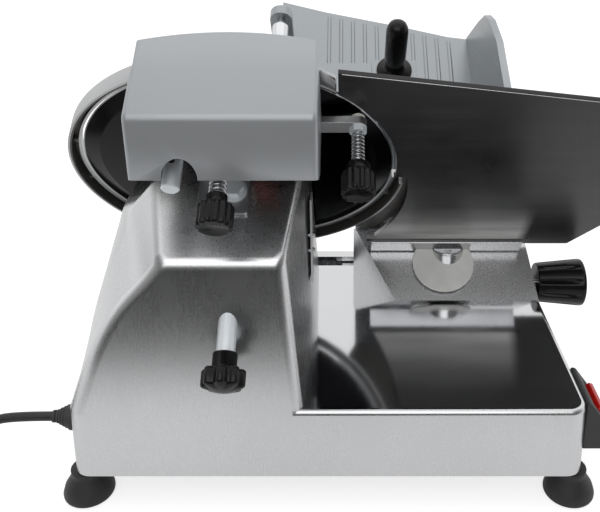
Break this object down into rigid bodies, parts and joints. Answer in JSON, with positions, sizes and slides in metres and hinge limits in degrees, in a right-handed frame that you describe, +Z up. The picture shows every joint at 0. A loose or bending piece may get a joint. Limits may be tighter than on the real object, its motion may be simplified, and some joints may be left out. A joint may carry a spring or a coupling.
{
  "type": "meat slicer",
  "caption": "Electric gravity-feed meat slicer: tilted round knife in a ring guard, gauge plate with dial, sliding food tray with pusher, built-in sharpener and cast base on suction feet.",
  "frame": {"origin": "on the floor under the middle of the slicer's overall box, cord and plug left out", "axes": "+Z up, +X to the operator's right along the carriage's travel, +Y away from the operator"},
  "size_m": [0.6986, 0.4248, 0.3633],
  "materials": {
    "cast_aluminium": "polished casting",
    "ring_aluminium": "satin casting",
    "knife_steel": "ground and polished",
    "steel": "bright turned",
    "dark_steel": "dark blackened",
    "anodised": "satin anodised",
    "bracket_aluminium": "sand cast",
    "gauge_black": "low-friction black coating",
    "tray_grey": "satin",
    "black_plastic": "moulded, semi-gloss",
    "nylon": "white nylon",
    "rubber": "matt",
    "cord_rubber": "matt sheath",
    "stone": "reddish abrasive",
    "fine_stone": "pale abrasive",
    "bronze": "plain bearing bronze",
    "red_lens": "translucent red",
    "motor_paint": "black enamel"
  },
  "bodies": {
    "base": {"base_casting": "cast_aluminium", "bottom_plate": "dark_steel", "suction_feet": "rubber", "ring_guard": "ring_aluminium", "ring_screws": "steel", "knife_cover": "anodised", "spindle_housing": "cast_aluminium", "spindle_bearings": "steel", "rod_sleeve": "steel", "motor_housing": "motor_paint", "motor_mount": "dark_steel", "motor_capacitor": "nylon", "drive_belt": "rubber", "sharpener_bracket": "bracket_aluminium", "bracket_bolt": "steel", "sharpener_post": "steel", "post_set_screw": "dark_steel", "sharpener_body": "bracket_aluminium", "grinding_spring": "steel", "honing_nut": "steel", "honing_spring": "steel", "side_shield": "anodised", "shield_screws": "steel", "gauge_rod": "steel", "switch_housing": "black_plastic", "cord_gland": "black_plastic", "power_cord_run": "cord_rubber", "power_cord_coil": "cord_rubber", "power_plug": "black_plastic", "carriage_bar": "steel"},
    "knife": {"knife": "knife_steel", "knife_screws": "steel", "knife_pulley": "steel"},
    "motor_rotor": {"motor_rotor": "dark_steel", "motor_pulley": "steel"},
    "tie_knob": {"star_knob": "black_plastic", "tie_rod": "steel"},
    "gauge": {"gauge_plate": "gauge_black", "gauge_support_bar": "steel", "gauge_arm": "cast_aluminium", "gauge_disc": "nylon"},
    "dial": {"index_dial": "black_plastic", "dial_shaft": "steel"},
    "carriage": {"carriage_block": "cast_aluminium", "carriage_bushes": "bronze", "tray_arm": "cast_aluminium", "food_tray": "tray_grey", "pusher_rod": "steel"},
    "pusher_slider": {"pusher_sleeve": "steel"},
    "pusher": {"pusher_arm": "tray_grey", "pusher_handle": "black_plastic"},
    "lock_knob": {"tray_lock_knob": "black_plastic"},
    "hood": {"sharpener_hood": "anodised"},
    "grind_plunger": {"grinding_knob": "black_plastic", "grinding_stud": "steel"},
    "grind_wheel": {"grinding_wheel": "stone"},
    "hone_plunger": {"honing_knob": "black_plastic", "honing_stud": "steel"},
    "hone_wheel": {"honing_stone": "fine_stone"},
    "rocker": {"switch_rocker": "red_lens"}
  },
  "joints": [
    {"name": "knife_spin", "type": "hinge", "parent": "base", "child": "knife", "pos_m": [-0.0989, -0.0573, 0.2416], "axis": [0, -0.788, -0.6157], "continuous": true},
    {"name": "motor_spin", "type": "hinge", "parent": "base", "child": "motor_rotor", "pos_m": [-0.1309, -0.05841, 0.14556], "axis": [0, -0.788, -0.6157], "continuous": true},
    {"name": "tie_knob_turn", "type": "hinge", "parent": "base", "child": "tie_knob", "pos_m": [-0.0989, -0.18338, 0.14309], "axis": [0, -0.788, -0.6157], "range_deg": [0, 720]},
    {"name": "gauge_slide", "type": "slide", "parent": "base", "child": "gauge", "axis": [0, -0.788, -0.6157], "range_m": [0, 0.01]},
    {"name": "dial_turn", "type": "hinge", "parent": "base", "child": "dial", "pos_m": [0.1739, 0.0133, 0.0911], "axis": [-1, 0, 0], "range_deg": [0, 127.4]},
    {"name": "carriage_slide", "type": "slide", "parent": "base", "child": "carriage", "axis": [1, 0, 0], "range_m": [-0.14, 0.09]},
    {"name": "pusher_slide", "type": "slide", "parent": "carriage", "child": "pusher_slider", "axis": [0, 0.788, 0.6157], "range_m": [-0.068, 0.008]},
    {"name": "pusher_swing", "type": "hinge", "parent": "pusher_slider", "child": "pusher", "pos_m": [-0.0789, 0.07285, 0.28618], "axis": [0, -0.788, -0.6157], "range_deg": [0, 70]},
    {"name": "tray_lock_turn", "type": "hinge", "parent": "carriage", "child": "lock_knob", "pos_m": [0.0379, 0.0693, 0.15], "axis": [1, 0, 0], "range_deg": [0, 180]},
    {"name": "hood_lift", "type": "slide", "parent": "base", "child": "hood", "axis": [0, -0.6157, 0.788], "range_m": [0, 0.05]},
    {"name": "grind_press", "type": "slide", "parent": "base", "child": "grind_plunger", "axis": [0, 0.788, 0.6157], "range_m": [0, 0.008], "stiffness_N_per_m": 600},
    {"name": "grind_wheel_spin", "type": "hinge", "parent": "grind_plunger", "child": "grind_wheel", "pos_m": [-0.0974, -0.12906, 0.30584], "axis": [0, -0.788, -0.6157], "continuous": true},
    {"name": "hone_press", "type": "slide", "parent": "base", "child": "hone_plunger", "axis": [0, 0.788, 0.6157], "range_m": [0, 0.003], "stiffness_N_per_m": 600},
    {"name": "hone_wheel_spin", "type": "hinge", "parent": "hone_plunger", "child": "hone_wheel", "pos_m": [-0.0034, -0.10899, 0.29639], "axis": [0, -0.788, -0.6157], "continuous": true},
    {"name": "switch_rock", "type": "hinge", "parent": "base", "child": "rocker", "pos_m": [0.1834, -0.1417, 0.064], "axis": [0, -1, 0], "range_deg": [0, 12]}
  ],
  "couplings": [
    {"joint": "motor_spin", "follows": "knife_spin", "ratio": 2.8889},
    {"joint": "dial_turn", "follows": "gauge_slide", "rad_per_m": 222.22}
  ]
}
